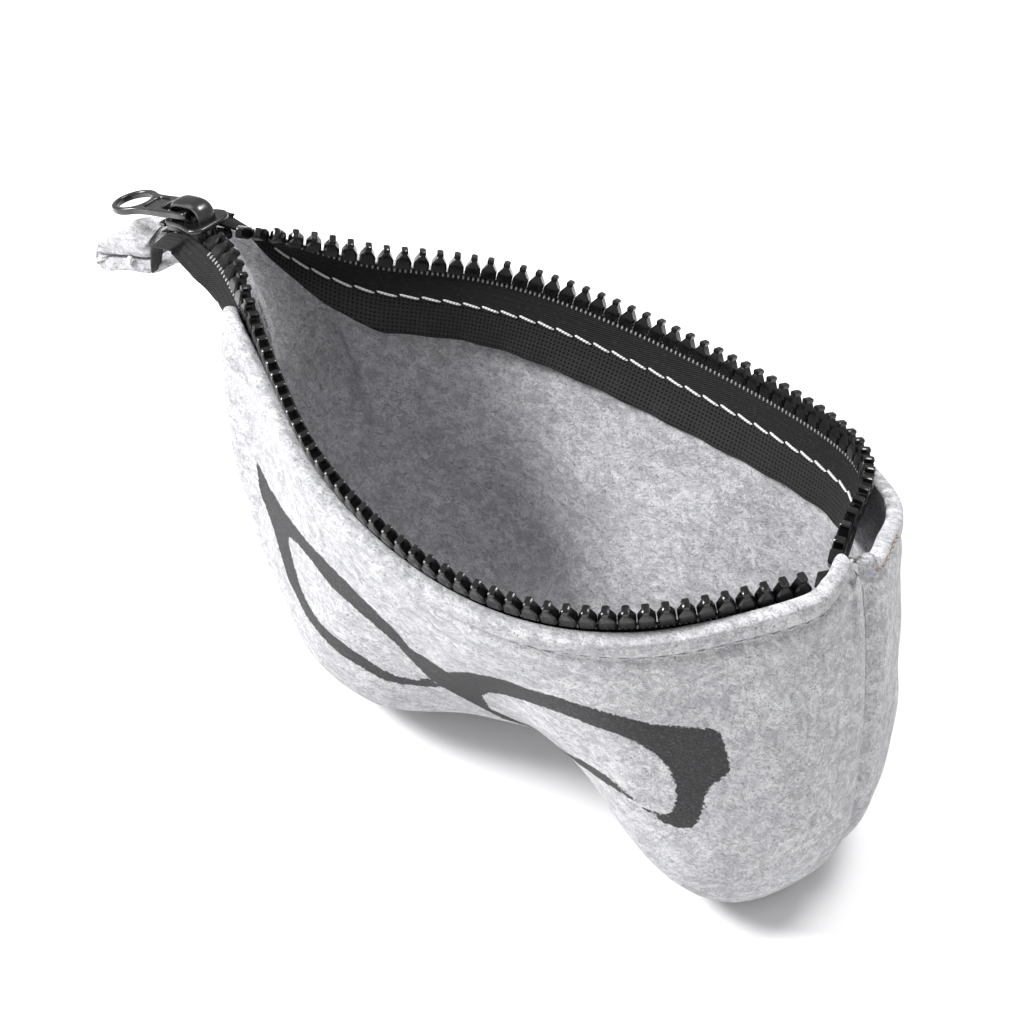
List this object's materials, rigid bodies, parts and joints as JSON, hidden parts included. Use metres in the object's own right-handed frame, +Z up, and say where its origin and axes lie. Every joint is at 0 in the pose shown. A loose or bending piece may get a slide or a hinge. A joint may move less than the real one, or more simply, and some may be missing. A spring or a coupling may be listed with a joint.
{
  "type": "eyeglasses pouch",
  "caption": "Felt pouch for a pair of glasses, with a rounded two-lobe bottom, a coarse zip along its open mouth, and a slider with a ring pull.",
  "frame": {"origin": "under the middle of the pouch's box, on the plane that the two lobes stand on", "axes": "+X along the mouth away from the slider's start, +Y from the front panel to the back one, +Z up"},
  "size_m": [0.1932, 0.0888, 0.1],
  "materials": {
    "felt": "light grey flecked wool felt, matt",
    "tape": "black woven zip tape",
    "teeth": "moulded, glossy",
    "white_thread": "twisted sewing thread",
    "grey_thread": "twisted sewing thread",
    "gunmetal": "black nickel plated die casting",
    "steel": "plain spring steel"
  },
  "bodies": {
    "pouch": {"front_panel": "felt", "back_panel": "felt", "front_tape": "tape", "back_tape": "tape", "front_teeth": "teeth", "back_teeth": "teeth", "front_top_stop": "teeth", "back_top_stop": "teeth", "front_tape_stitch": "white_thread", "back_tape_stitch": "white_thread", "front_felt_stitch": "grey_thread", "back_felt_stitch": "grey_thread", "seam_thread": "grey_thread", "ear_tack": "white_thread", "corner_tack": "grey_thread", "bottom_stop": "gunmetal"},
    "slider": {"slider_body": "gunmetal", "slider_crown": "gunmetal", "lock_spring": "steel"},
    "pull": {"pull_tab": "gunmetal"}
  },
  "joints": [
    {"name": "slider_slide", "type": "slide", "parent": "pouch", "child": "slider", "axis": [1, 0, 0], "range_m": [0, 0.144], "deforming": ["front_panel", "back_panel", "front_tape", "back_tape", "front_teeth", "back_teeth", "front_top_stop", "back_top_stop", "front_tape_stitch", "back_tape_stitch", "front_felt_stitch", "back_felt_stitch"]},
    {"name": "pull_swing", "type": "hinge", "parent": "slider", "child": "pull", "pos_m": [-0.06902, -0.005, 0.09752], "axis": [0, 1, 0], "range_deg": [0, 150]}
  ]
}
